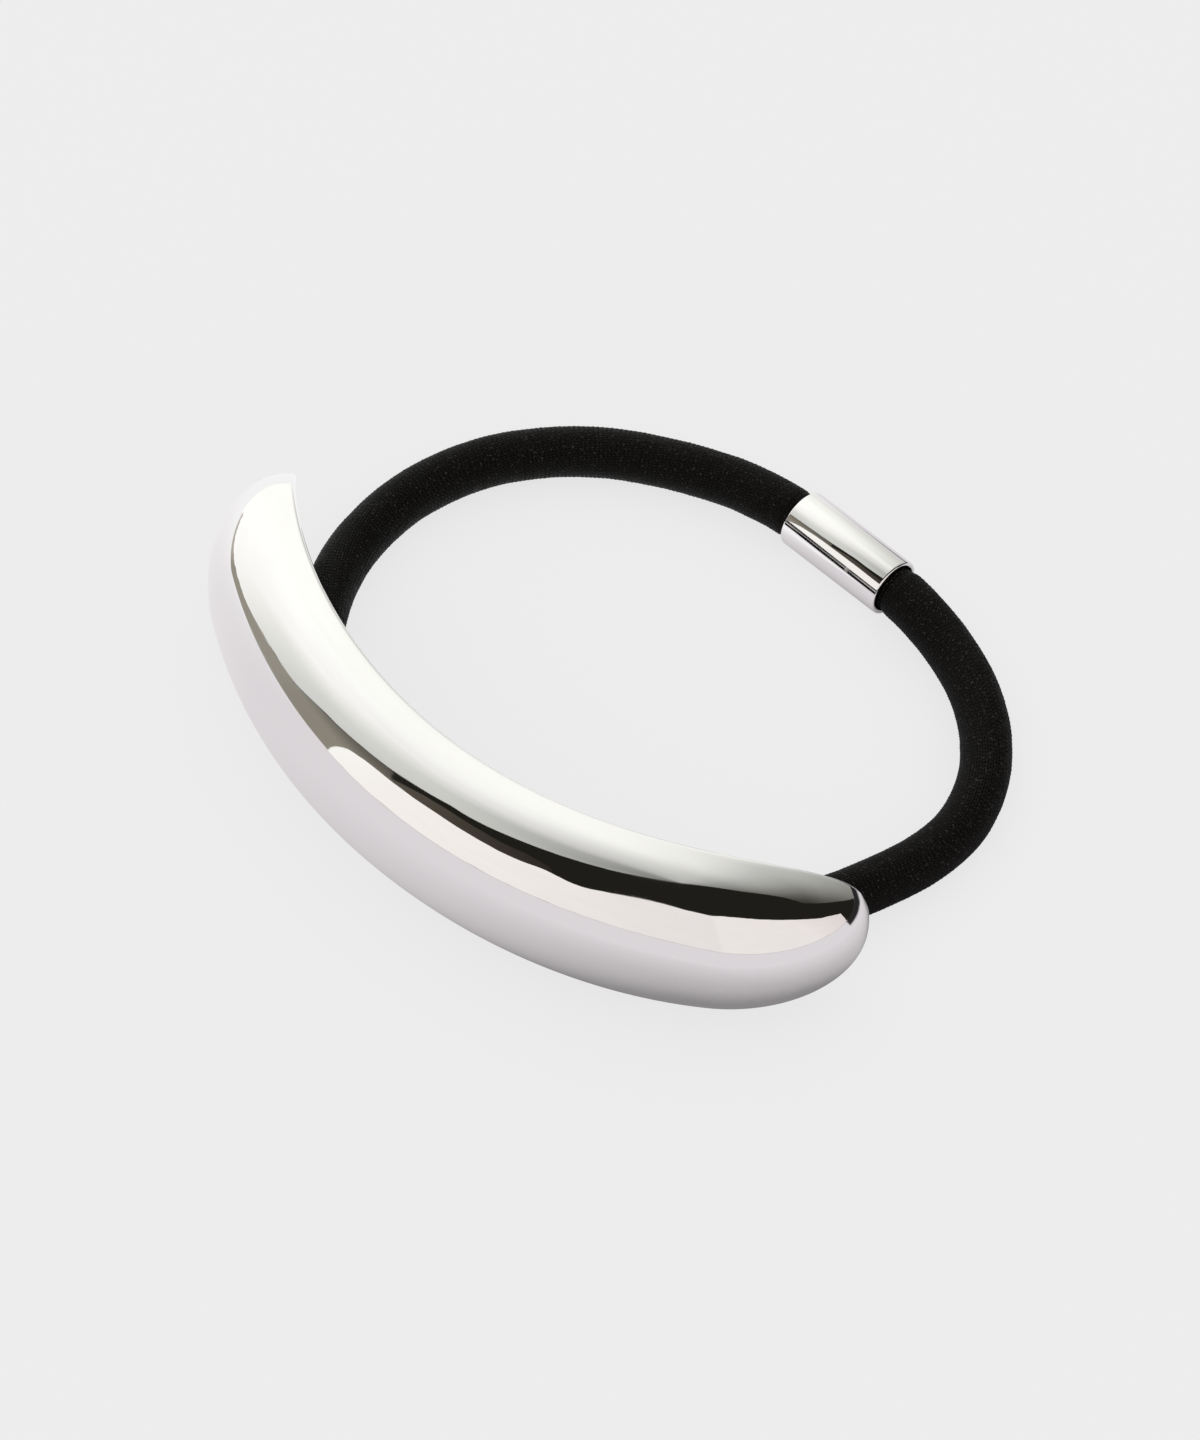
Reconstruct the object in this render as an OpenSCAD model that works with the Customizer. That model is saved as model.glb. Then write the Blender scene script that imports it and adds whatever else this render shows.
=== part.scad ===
// Hair tie: a hollow domed metal bar on a loop of round elastic, joined at the back by a metal crimp.
// Millimetres, +Z up. The tie lies on a table at z = 0, and the bar stands on its lower edge.
// The origin is on the table below the middle of the whole tie. The bar is at the front, towards -Y.

/* [Bar] */
// Radius of the bar's rim, seen from above
rim_r = 52.9; // [52.6:0.1:53.4]
// Angle from the bar's middle to either tip
half_angle = 46.8; // [46:0.1:47.4]
// Height of the rim at the bar's middle
bar_h = 18.2; // [18:0.1:18.8]
// Depth of the dome in front of the rim
dome_d = 8.7; // [8.6:0.1:9.6]
// Thickness of the metal
wall = 1; // [0.7:0.1:1.1]
// Depth of the straight strip between the dome and the rounded lip
strip_d = 0.4; // [0.2:0.1:0.6]
// How far the tips curl in beyond the arc of the rim
tip_curl = 1; // [0.5:0.1:1.4]

/* [Form of the dome] */
// Where the rim starts to round off, as a share of the way from the middle to the tip
rim_from = 0.06; // [0.02:0.02:0.14]
// Power of the rim's rounding: 2 is an ellipse, and more is squarer
rim_power = 2.5; // [2.4:0.1:2.7]
// How much taller the rim would get on its way to the tip if it weren't rounded off
rim_swell = 0.27; // [0.21:0.02:0.31]
// Where the dome's depth starts to fall, as a share of the way from the middle to the tip
dome_from = 0.69; // [0.67:0.02:0.75]
// Power of the dome's fall at the tips
dome_power = 1.9; // [1.8:0.1:2.2]
// Power of the dome's section: 2 is an ellipse, and more is squarer
section_power = 2.3; // [2.2:0.1:2.6]

/* [Posts] */
// Diameter of the two upright posts that hold the elastic in the bar
post_d = 1.5; // [1.2:0.1:1.5]
// Angle from the bar's middle to each post
post_angle = 16.4; // [16.2:0.1:16.5]

/* [Elastic] */
// Diameter of the elastic
cord_d = 5.1; // [4.8:0.1:5.1]
// Diameter of the elastic where the crimp squeezes it
squeezed_d = 4.8; // [4.5:0.1:4.8]

/* [Crimp] */
// Length of the crimp
crimp_l = 12.8; // [12.2:0.2:13]
// Outer diameter of the crimp
crimp_d = 6.1; // [5.9:0.1:6.2]
// Diameter of the crimp's bore
crimp_bore_d = 5.2; // [5.1:0.1:5.3]
// Width of the small bevel round each end of the crimp
crimp_bevel = 0.2; // [0.05:0.05:0.25]

/* [Hidden] */

// Fineness of the bar: stations from tip to tip, and steps round the dome and round the lip
bar_steps = 44;
dome_steps = 20;
lip_steps = 4;

// The hollow ends this share of the way to the tips, so that the tips have a wall too
hollow_reach = 0.972;

// The middle of the rim, seen from above, and the centre of its arc
bar_y = -24.2;
arc_y = bar_y + rim_r;

// The bar's middle stands so high that the lowest point of its rim is on the table
bar_z = max([for (i = [0 : bar_steps]) half_height(i / bar_steps)]);

// The crimp's middle, on the elastic's route, and its turn about the vertical
crimp_x = 3.8;
crimp_y = 29.5;
crimp_z = 3.1;
crimp_turn = -2;

// The elastic's route, from the end in the left half of the crimp, round the left side, through the
// hollow of the bar in front of the posts, and round the right side to the other end in the crimp
route = [
    [3.4, 29.5, 3.1], [0.4, 29.6, 3.1], [-2.6, 29.7, 3.1], [-6.4, 29.5, 2.9], [-11.6, 28.5, 2.6],
    [-17.4, 26, 2.6], [-22.6, 22.9, 2.6], [-27, 18.8, 2.6], [-30.5, 13.8, 2.6], [-32.6, 8, 2.6], [-33.2, 2, 2.6],
    [-32.3, -4, 2.8], [-29.9, -9.6, 3.7], [-26.6, -14.7, 4.8], [-23.1, -19.6, 5.6], [-19.8, -23.1, 5.9],
    [-15.6, -25.8, 6], [-11, -27.2, 6], [-5.5, -27.8, 6], [0, -28.1, 6], [5.5, -27.8, 6],
    [11, -27.2, 6], [15.7, -25.7, 6], [20, -22.9, 5.9], [23.4, -18.7, 5.5], [26.3, -13.7, 4.7],
    [29, -9.1, 3.8], [31.3, -4.3, 2.9], [33.1, 0.9, 2.6], [34.5, 6.3, 2.6], [34.5, 11.8, 2.6],
    [32.5, 17.2, 2.6], [28.8, 21.9, 2.6], [23.9, 25.5, 2.6], [18.6, 27.8, 2.6], [14, 28.9, 2.9],
    [10.2, 29.3, 3.1], [7.2, 29.4, 3.1], [4.2, 29.5, 3.1],
];

// Steps that the elastic's tube takes from one point of the route to the next
route_steps = 2;
// Number of sides of the elastic's tube
cord_sides = 12;

// Either end of the elastic is squeezed as far as the crimp's mouth, two points along the route
squeezed_rings = 2 * route_steps;

metal = [0.86, 0.86, 0.88];
black = [0.06, 0.055, 0.05];

// A rounded end: 1 from the middle to the share `from`, then down to 0 at the tip
function end_round(t, from, power) =
    let (u = max(0, (abs(t) - from) / (1 - from)))
    pow(max(0, 1 - pow(u, power)), 1 / power);

// Half the rim's height and the dome's depth at a share t of the way from the middle to a tip
function half_height(t) = bar_h / 2 * end_round(t, rim_from, rim_power) * (1 + rim_swell * t * t);
function dome_depth(t) = dome_d * end_round(t, dome_from, dome_power);

// A point from its share along the bar, its distance in front of the rim and its height
function on_bar(t, out, up) =
    let (a = t * half_angle, r = rim_r + out)
    [r * sin(a), arc_y - r * cos(a) + tip_curl * pow(t, 4), bar_z + up];

// The half ring of a domed skin from the angle a1 to a2: 90 is its top edge and -90 its lower edge
function dome_points(t, depth, half, a1, a2) =
    [for (i = [0 : dome_steps])
        let (a = a1 + (a2 - a1) * i / dome_steps, e = 2 / section_power)
        on_bar(t, depth * pow(max(0, cos(a)), e), half * sign(sin(a)) * pow(abs(sin(a)), e))];

// A half round lip from the outer skin to the hollow. Its side is 1 above and -1 below
function lip_points(t, ti, half, half_in, reach, side) =
    [for (i = [0 : lip_steps])
        let (a = 180 * i / lip_steps, w = (1 - cos(a)) / 2)
        on_bar(t + (ti - t) * w, -(strip_d + wall / 2 * sin(a)) * reach, side * (half + (half_in - half) * w))];

function reversed(list) = [for (i = [len(list) - 1 : -1 : 0]) list[i]];

// The section of the bar at a share t: the dome from its top edge down to its lower edge, the lower
// lip, the hollow from its lower edge up to its top edge, and the upper lip. The lips shrink to
// nothing at the tips, where the dome falls away
function section(t) =
    let (
        ti = t * hollow_reach,
        half = half_height(t),
        depth = dome_depth(t),
        half_in = half * (1 - 2 * wall / bar_h),
        depth_in = depth * (1 - wall / dome_d),
        reach = min(1, 3 * end_round(t, dome_from, dome_power))
    )
    concat(
        dome_points(t, depth, half, 90, -90),
        lip_points(t, ti, half, half_in, reach, -1),
        dome_points(ti, depth_in, half_in, -90, 90),
        reversed(lip_points(t, ti, half, half_in, reach, 1))
    );

// The bar's skin is woven from the sections. At each tip a section closes to a short chain of points,
// from the outer skin to the hollow, which its two lips share
stations = [for (i = [1 : bar_steps - 1]) sin(-90 + 180 * i / bar_steps)];
section_size = 2 * (dome_steps + 1) + 2 * (lip_steps + 1);
chain_size = lip_steps + 1;

function tip_chain(t) =
    [for (i = [0 : lip_steps])
        let (w = (1 - cos(180 * i / lip_steps)) / 2)
        on_bar(t * (1 + (hollow_reach - 1) * w), 0, 0)];

// Which point of a tip's chain the point j of a section closes to
function chain_place(j) =
    let (
        lower_lip = j - (dome_steps + 1),
        hollow = lower_lip - (lip_steps + 1),
        upper_lip = hollow - (dome_steps + 1)
    )
    lower_lip < 0 ? 0 : hollow < 0 ? lower_lip : upper_lip < 0 ? lip_steps : lip_steps - upper_lip;

// The number of the point j of the section i, where i = 0 and i = bar_steps are the tips
function skin_point(i, j) =
    i == 0 ? chain_place(j)
    : i == bar_steps ? chain_size + (bar_steps - 1) * section_size + chain_place(j)
    : chain_size + (i - 1) * section_size + j;

// A face whose corners don't all differ has closed up at a tip
function is_open(f) = f[0] != f[1] && f[1] != f[2] && f[2] != f[0];

module bar_shell() {
    points = concat(tip_chain(-1), [for (t = stations) each section(t)], tip_chain(1));
    faces = [
        for (i = [0 : bar_steps - 1], j = [0 : section_size - 1])
            let (
                k = (j + 1) % section_size,
                a = skin_point(i, j), b = skin_point(i + 1, j),
                c = skin_point(i + 1, k), d = skin_point(i, k)
            )
            each [for (f = [[a, b, c], [a, c, d]]) if (is_open(f)) f]
    ];
    polyhedron(points = points, faces = faces);
}

// An upright post across the hollow, with its ends in the lower and the upper wall
module post(side) {
    t = side * post_angle / half_angle;
    half = half_height(t) - wall / 2;
    translate(on_bar(t, 0, -half))
        cylinder(d = post_d, h = 2 * half, $fn = 32);
}

module bar() {
    color(metal)
        union() {
            bar_shell();
            post(-1);
            post(1);
        }
}

// A point of a smooth curve from b to c, at the share u of the way, with a before b and d after c
function between(a, b, c, d, u) =
    b + (c - a) * u / 2 + (2 * a - 5 * b + 4 * c - d) * u * u / 2 + (3 * b - a - 3 * c + d) * u * u * u / 2;

// The middle of each ring of the elastic
last_point = len(route) - 1;
ring_centres = concat(
    [for (i = [0 : last_point - 1], s = [0 : route_steps - 1])
        between(route[max(0, i - 1)], route[i], route[i + 1], route[min(last_point, i + 2)], s / route_steps)],
    [route[last_point]]
);
last_ring = len(ring_centres) - 1;

function unit(v) = v / norm(v);

// The radius and the points of one ring
function cord_radius(i) = (min(i, last_ring - i) <= squeezed_rings ? squeezed_d : cord_d) / 2;
function cord_ring(i) =
    let (
        along = unit(ring_centres[min(last_ring, i + 1)] - ring_centres[max(0, i - 1)]),
        across = unit(cross(along, [0, 0, 1])),
        upward = cross(across, along)
    )
    [for (j = [0 : cord_sides - 1])
        let (a = 360 * j / cord_sides)
        ring_centres[i] + cord_radius(i) * (across * cos(a) + upward * sin(a))];

module elastic() {
    points = [for (i = [0 : last_ring]) each cord_ring(i)];
    sides = [
        for (i = [0 : last_ring - 1], j = [0 : cord_sides - 1])
            let (k = (j + 1) % cord_sides, a = i * cord_sides, b = a + cord_sides)
            each [[a + j, b + k, b + j], [a + j, a + k, b + k]]
    ];
    first_end = [for (j = [cord_sides - 1 : -1 : 0]) j];
    last_end = [for (j = [0 : cord_sides - 1]) last_ring * cord_sides + j];
    color(black)
        polyhedron(points = points, faces = concat(sides, [first_end, last_end]));
}

module crimp() {
    outer = crimp_d / 2;
    bore = crimp_bore_d / 2;
    half = crimp_l / 2;
    color(metal)
        translate([crimp_x, crimp_y, crimp_z])
            rotate([0, 90, crimp_turn])
                rotate_extrude($fn = 64)
                    polygon([
                        [bore, -half],
                        [outer - crimp_bevel, -half],
                        [outer, -half + crimp_bevel],
                        [outer, half - crimp_bevel],
                        [outer - crimp_bevel, half],
                        [bore, half],
                    ]);
}

bar();
elastic();
crimp();
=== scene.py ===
"""Hair tie: a polished, domed bar on a loop of knitted elastic that a metal crimp closes.

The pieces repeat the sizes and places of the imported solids. This script lays the elastic along its
route, puts the finished surfaces in the solids' place, and sets the camera and the studio. The tie's
lengths are in millimetres until a mesh is handed over, the studio's are in metres, and angles are in
degrees.
"""

import logging
import math
from dataclasses import dataclass, field
from enum import Enum

import bmesh
import bpy
from mathutils import Matrix, Quaternion, Vector, noise


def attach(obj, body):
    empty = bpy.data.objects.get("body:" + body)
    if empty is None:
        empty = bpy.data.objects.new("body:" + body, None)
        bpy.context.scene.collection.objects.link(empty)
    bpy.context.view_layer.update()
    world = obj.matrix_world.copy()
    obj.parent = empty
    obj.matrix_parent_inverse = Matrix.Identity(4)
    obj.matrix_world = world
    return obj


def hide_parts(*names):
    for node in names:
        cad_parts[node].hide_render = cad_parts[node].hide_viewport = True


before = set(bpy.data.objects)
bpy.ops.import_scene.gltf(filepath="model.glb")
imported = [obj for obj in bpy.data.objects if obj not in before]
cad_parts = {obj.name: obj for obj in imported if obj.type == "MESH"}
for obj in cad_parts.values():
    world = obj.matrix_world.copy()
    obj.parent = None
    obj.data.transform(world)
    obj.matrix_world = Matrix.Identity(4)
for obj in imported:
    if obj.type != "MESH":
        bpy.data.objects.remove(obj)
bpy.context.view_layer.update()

log = logging.getLogger("hair_tie")

MM = 0.001
BODY = "root"
# Points closer than this are one point, in millimetres
SAME_POINT = 1e-4

Pair = tuple[float, float]
Triple = tuple[float, float, float]
Colour = Triple
Outline = tuple[Pair, ...]
Socket = bpy.types.NodeSocket
# What an input takes: a number or colour of its own, or another node's output
Term = float | Socket
Paint = Colour | Socket


class Slot(Enum):
    """Names of material slots, which no piece here is given."""

    METAL = "polished_metal"
    ELASTIC = "knitted_elastic"


class SeenBy(Enum):
    """Which rays alone see a thing of the studio."""

    REFLECTIONS = "reflections"
    DIFFUSE = "diffuse surfaces"


def read_line(line: Outline, at: float) -> float:
    """Reads a broken line at one place.

    Args:
        line: The corners as (place, height), in rising order of place.
        at: The place to read.

    Returns:
        The height there, which stays level beyond either end.
    """
    if at <= line[0][0]:
        return line[0][1]
    for (x1, y1), (x2, y2) in zip(line, line[1:]):
        if at <= x2:
            return y1 + (y2 - y1) * (at - x1) / (x2 - x1)
    return line[-1][1]


def smooth_step(low: float, high: float, at: float) -> float:
    """Rises smoothly from 0 at low to 1 at high."""
    share = min(1.0, max(0.0, (at - low) / (high - low)))
    return share * share * (3 - 2 * share)


def curve_point(a: Vector, b: Vector, c: Vector, d: Vector, share: float) -> Vector:
    """A place of the smooth curve from b to c, which has a before b and d after c."""
    near = b + (c - a) * share / 2 + (2 * a - 5 * b + 4 * c - d) * share**2 / 2
    return near + (3 * b - a - 3 * c + d) * share**3 / 2


def hand_over(
    name: str, mesh: bmesh.types.BMesh, materials: list[bpy.types.Material]
) -> bpy.types.Object:
    """Makes a smooth object in metres from a mesh in millimetres.

    Args:
        name: The piece's name.
        mesh: The finished mesh, which is freed here.
        materials: The materials that the mesh's faces number.

    Returns:
        The object, at the origin, with its place in its mesh.
    """
    bmesh.ops.scale(mesh, vec=(MM, MM, MM), verts=mesh.verts)
    for face in mesh.faces:
        face.smooth = True
    data = bpy.data.meshes.new(name)
    mesh.to_mesh(data)
    mesh.free()
    for material in materials:
        data.materials.append(material)
    piece = bpy.data.objects.new(name, data)
    bpy.context.scene.collection.objects.link(piece)
    return piece


def enter(piece: bpy.types.Object, node: str) -> bpy.types.Object:
    """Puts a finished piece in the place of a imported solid.

    Args:
        piece: The finished piece.
        node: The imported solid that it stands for.

    Returns:
        The same piece.
    """
    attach(piece, BODY)
    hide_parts(node)
    return piece


class NodeBench:
    """Places and links the nodes of one shader tree."""

    COLOURS = "ShaderNodeVectorMath"

    def __init__(self, tree: bpy.types.NodeTree) -> None:
        """Works on the tree given."""
        self.tree = tree

    def add(self, kind: str, **settings: object) -> bpy.types.Node:
        """Adds a node.

        Args:
            kind: The node's type name.
            settings: The node's own settings by name.

        Returns:
            The new node.
        """
        node = self.tree.nodes.new(kind)
        for name, value in settings.items():
            setattr(node, name, value)
        return node

    def fill(self, socket: Socket, value: object) -> None:
        """Fills one input.

        Args:
            socket: The input.
            value: A number or colour of its own, or the output that it is linked to.
        """
        if isinstance(value, Socket):
            self.tree.links.new(value, socket)
        else:
            socket.default_value = value

    def feed(self, node: bpy.types.Node, **values: object) -> bpy.types.Node:
        """Fills a node's inputs by name.

        Args:
            node: The node.
            values: What each input gets. An underscore stands for a space in its name.

        Returns:
            The same node.
        """
        for name, value in values.items():
            self.fill(node.inputs[name.replace("_", " ")], value)
        return node

    def math(self, operation: str, *terms: Term, kind: str = "ShaderNodeMath") -> Socket:
        """Adds a node that works something out.

        Args:
            operation: The operation's name.
            terms: Its terms, each a number or another node's output.
            kind: The node's type name, which is COLOURS where a term is a colour.

        Returns:
            The node's output.
        """
        node = self.add(kind, operation=operation)
        for socket, term in zip(node.inputs, terms):
            self.fill(socket, term)
        return node.outputs[0]

    def plus(self, first: Term, second: Term) -> Socket:
        """Adds two numbers."""
        return self.math("ADD", first, second)

    def times(self, first: Term, second: Term) -> Socket:
        """Multiplies two numbers."""
        return self.math("MULTIPLY", first, second)

    def length(self, across: Socket, along: Socket) -> Socket:
        """Works out the length of a step across and along."""
        return self.math("SQRT", self.plus(self.math("POWER", across, 2), self.math("POWER", along, 2)))

    def between(self, value: Term, low: float, high: float, start: float = 0, end: float = 1) -> Socket:
        """Adds a smooth Map Range node.

        Args:
            value: What it reads.
            low: Where its output begins to change.
            high: Where its output has changed.
            start: Its output up to low.
            end: Its output past high.

        Returns:
            The node's output.
        """
        node = self.add("ShaderNodeMapRange", interpolation_type="SMOOTHSTEP")
        self.feed(node, Value=value, From_Min=low, From_Max=high, To_Min=start, To_Max=end)
        return node.outputs["Result"]

    def level(self, value: Term, low: float, high: float) -> Socket:
        """Adds a straight Map Range node from low..high to 0..1 and returns its output."""
        node = self.feed(self.add("ShaderNodeMapRange"), Value=value, From_Min=low, From_Max=high)
        return node.outputs["Result"]

    def cloud(self, place: Socket, scale: float, detail: float, stretch: Triple = (1, 1, 1)) -> Socket:
        """Adds a noise on a place.

        Args:
            place: The output that gives the coordinates.
            scale: How many cells a metre has.
            detail: How many finer layers it has.
            stretch: How much denser it is along each axis.

        Returns:
            The noise's value, about 0.5 on average.
        """
        mapping = self.feed(self.add("ShaderNodeMapping"), Vector=place, Scale=stretch)
        node = self.add("ShaderNodeTexNoise")
        self.feed(node, Vector=mapping.outputs[0], Scale=scale, Detail=detail)
        return node.outputs["Fac"]

    def blend(self, share: Term, first: Paint, second: Paint, kind: str = "MIX") -> Socket:
        """Adds a blend of two colours.

        Args:
            share: How far the blend goes from the first to the second.
            first: The first colour, or another node's output.
            second: The second one.
            kind: The name of the way that they are blended.

        Returns:
            The blended colour.
        """
        node = self.add("ShaderNodeMix", data_type="RGBA", blend_type=kind)
        for name, value in (("Factor_Float", share), ("A_Color", first), ("B_Color", second)):
            socket = next(s for s in node.inputs if s.identifier == name)
            self.fill(socket, (*value, 1) if isinstance(value, tuple) else value)
        return next(s for s in node.outputs if s.identifier == "Result_Color")

    def bump(self, height: Socket) -> Socket:
        """Adds a Bump node on a height in metres and returns its normal."""
        return self.feed(self.add("ShaderNodeBump"), Height=height, Strength=1, Distance=1).outputs[0]


def new_material(name: str) -> tuple[bpy.types.Material, NodeBench, bpy.types.Node]:
    """Starts a material.

    Args:
        name: The material's name.

    Returns:
        The material, a bench on its tree, and its Principled shader, already linked.
    """
    material = bpy.data.materials.new(name)
    material.use_nodes = True
    return material, NodeBench(material.node_tree), material.node_tree.nodes["Principled BSDF"]


class HandlingMarks:
    """The shader group of what handling leaves on bare metal: smudges, wipe marks and slight waves."""

    NAME = "Handling marks"
    INPUTS = ("Roughness", "Smudges", "Wipe marks", "Waves")
    OUTPUTS = ("Roughness", "Smudge", "Height")
    # How many cells a metre each noise has, and from where to where in its values a mark sets in
    SMUDGE_SCALE = 70
    SMUDGE_SPAN = (0.5, 0.72)
    WIPE_SCALE = 160
    WIPE_STRETCH = (1, 1, 14)
    WIPE_SPAN = (0.6, 0.8)
    WAVE_SCALE = 90
    # How high the strongest wipe mark would stand, in metres
    WIPE_HEIGHT = 2e-6

    @classmethod
    def group(cls) -> bpy.types.NodeTree:
        """The group, which is built the first time that it is asked for."""
        return bpy.data.node_groups.get(cls.NAME) or cls.build()

    @classmethod
    def build(cls) -> bpy.types.NodeTree:
        """Builds the group.

        Returns:
            A group with a roughness, a mask of the smudges and a height in metres.
        """
        tree = bpy.data.node_groups.new(cls.NAME, "ShaderNodeTree")
        for name in cls.INPUTS:
            tree.interface.new_socket(name=name, in_out="INPUT", socket_type="NodeSocketFloat")
        for name in cls.OUTPUTS:
            tree.interface.new_socket(name=name, in_out="OUTPUT", socket_type="NodeSocketFloat")
        bench = NodeBench(tree)
        given = bench.add("NodeGroupInput").outputs
        place = bench.add("ShaderNodeTexCoord").outputs["Object"]
        patch = bench.between(bench.cloud(place, cls.SMUDGE_SCALE, detail=5), *cls.SMUDGE_SPAN)
        strokes = bench.cloud(place, cls.WIPE_SCALE, detail=6, stretch=cls.WIPE_STRETCH)
        smudge = bench.times(patch, given["Smudges"])
        wiped = bench.times(bench.between(strokes, *cls.WIPE_SPAN), given["Wipe marks"])
        waves = bench.times(bench.cloud(place, cls.WAVE_SCALE, detail=1), given["Waves"])
        roughness = bench.plus(given["Roughness"], bench.plus(smudge, wiped))
        height = bench.plus(waves, bench.times(wiped, cls.WIPE_HEIGHT))
        bench.feed(bench.add("NodeGroupOutput"), Roughness=roughness, Smudge=smudge, Height=height)
        return tree


@dataclass(frozen=True)
class MetalFinish:
    """A bare metal finish, from mirror polish to the plain inside of a pressed shell."""

    name: str
    colour: Colour
    dulled: Colour
    roughness: float
    smudges: float
    wipe_marks: float
    waves: float

    def material(self) -> bpy.types.Material:
        """Makes the material of this finish.

        Returns:
            The material.
        """
        material, bench, shader = new_material(self.name)
        marks = bench.feed(
            bench.add("ShaderNodeGroup", node_tree=HandlingMarks.group()),
            Roughness=self.roughness,
            Smudges=self.smudges,
            Wipe_marks=self.wipe_marks,
            Waves=self.waves,
        ).outputs
        bench.feed(
            shader,
            Base_Color=bench.blend(marks["Smudge"], self.colour, self.dulled),
            Metallic=1,
            Roughness=marks["Roughness"],
            Normal=bench.bump(marks["Height"]),
        )
        return material


@dataclass(frozen=True)
class KnitFinish:
    """The elastic's knitted cover: rows of small V stitches in matt black yarn."""

    name: str
    yarn: Colour
    shadow: Colour
    tint: Colour
    roughness: float
    gloss: float
    sheen: float
    # The colour of pale specks: painted glints of light on the yarn's fuzz
    fuzz_glint: Colour
    courses: float
    wales: float
    stitch_height: float
    fibre_height: float
    uv_map: str = "knit"
    sheen_roughness: float = 0.45
    # How much the roughness differs, and how much the fibres light the yarn beside the stitches
    roughness_spread: float = 0.1
    fibre_light: float = 0.9
    # How many cells a metre each noise has
    fibre_scale: float = 9000
    fuzz_glint_scale: float = 4200
    slip_scale: float = 900
    tint_scale: float = 300
    # From where to where in its values each pattern sets in
    light_span: Pair = (0.75, 1.6)
    fibre_span: Pair = (0.3, 0.7)
    fuzz_glint_span: Pair = (0.64, 0.72)
    tint_span: Pair = (0.4, 0.7)

    def material(self) -> bpy.types.Material:
        """Makes the material of this finish.

        Returns:
            The material.
        """
        material, bench, shader = new_material(self.name)
        uv = bench.add("ShaderNodeUVMap", uv_map=self.uv_map).outputs[0]
        split = bench.feed(bench.add("ShaderNodeSeparateXYZ"), Vector=uv).outputs
        place = bench.add("ShaderNodeTexCoord").outputs["Object"]
        # The courses slip a little against each other
        slip = bench.cloud(place, self.slip_scale, detail=1)
        course = bench.plus(bench.times(split["X"], self.courses), slip)
        wale = bench.math("FRACT", bench.times(split["Y"], self.wales))
        # From 0 in the middle of a wale to 1 at its edges
        side = bench.math("ABSOLUTE", bench.math("MULTIPLY_ADD", wale, 2, -1))
        slant = bench.times(bench.math("MULTIPLY_ADD", side, 0.5, course), 2 * math.pi)
        across = bench.math("ABSOLUTE", bench.math("MULTIPLY_ADD", side, 2, -1))
        round_leg = bench.math("SUBTRACT", 1, bench.times(across, across))
        # Half of a stitch's height is its place along the slant, and half the roundness of its leg
        row = bench.math("MULTIPLY_ADD", bench.math("SINE", slant), 0.25, 0.25)
        stitch = bench.plus(row, bench.times(round_leg, 0.5))
        fibres = bench.cloud(place, self.fibre_scale, detail=3)
        height = bench.plus(bench.times(stitch, self.stitch_height), bench.times(fibres, self.fibre_height))
        light = bench.math("MULTIPLY_ADD", fibres, self.fibre_light, stitch)
        plain = bench.blend(bench.between(light, *self.light_span), self.shadow, self.yarn)
        patches = bench.between(bench.cloud(place, self.tint_scale, detail=3), *self.tint_span)
        tinted = bench.blend(patches, plain, self.tint, kind="MULTIPLY")
        # Pale specks spread evenly over the cover: painted glints of light on the yarn's fuzz
        glint_specks = bench.between(bench.cloud(place, self.fuzz_glint_scale, detail=1), *self.fuzz_glint_span)
        smoothest, roughest = self.roughness - self.roughness_spread, self.roughness + self.roughness_spread
        bench.feed(
            shader,
            Base_Color=bench.blend(glint_specks, tinted, self.fuzz_glint),
            Roughness=bench.between(fibres, *self.fibre_span, smoothest, roughest),
            Normal=bench.bump(height),
            Sheen_Weight=self.sheen,
            Sheen_Roughness=self.sheen_roughness,
            Specular_IOR_Level=self.gloss,
        )
        return material


@dataclass
class PhotoCamera:
    """The camera, which looks at the tie at the photograph's angle."""

    azimuth: float = 43.55
    elevation: float = 52.6
    distance: float = 833.33
    lens: float = 214.58
    sensor: float = 36
    image_width: float = 1200
    image_height: float = 1440
    # The middle of the bar's rim, and the pixel of the photograph's 1200 x 1440 frame where it lies
    rim_middle: Vector = field(default_factory=lambda: Vector((0, -24.2, 0.09)))
    rim_pixel: Pair = (447.8, 861.4)

    def place(self) -> bpy.types.Object:
        """Makes the camera.

        Returns:
            The camera's object, which the scene now uses.
        """
        a = math.radians(self.azimuth)
        e = math.radians(self.elevation)
        back = Vector((math.sin(a) * math.cos(e), -math.cos(a) * math.cos(e), math.sin(e)))
        right = Vector((math.cos(a), math.sin(a), 0))
        up = back.cross(right)
        pixel = self.sensor / self.image_height / self.lens
        ray = (
            right * (self.image_width / 2 - self.rim_pixel[0]) * pixel
            + up * (self.rim_pixel[1] - self.image_height / 2) * pixel
            - back
        )
        data = bpy.data.cameras.new("camera")
        data.lens = self.lens
        data.sensor_width = self.sensor
        data.clip_start = 0.05
        data.clip_end = 20
        camera = bpy.data.objects.new("camera", data)
        bpy.context.scene.collection.objects.link(camera)
        camera.location = (self.rim_middle + back * self.distance) * MM
        camera.rotation_mode = "QUATERNION"
        level: Quaternion = Matrix((right, up, back)).transposed().to_quaternion()
        camera.rotation_quaternion = (-back).rotation_difference(ray) @ level
        bpy.context.scene.camera = camera
        return camera


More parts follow.
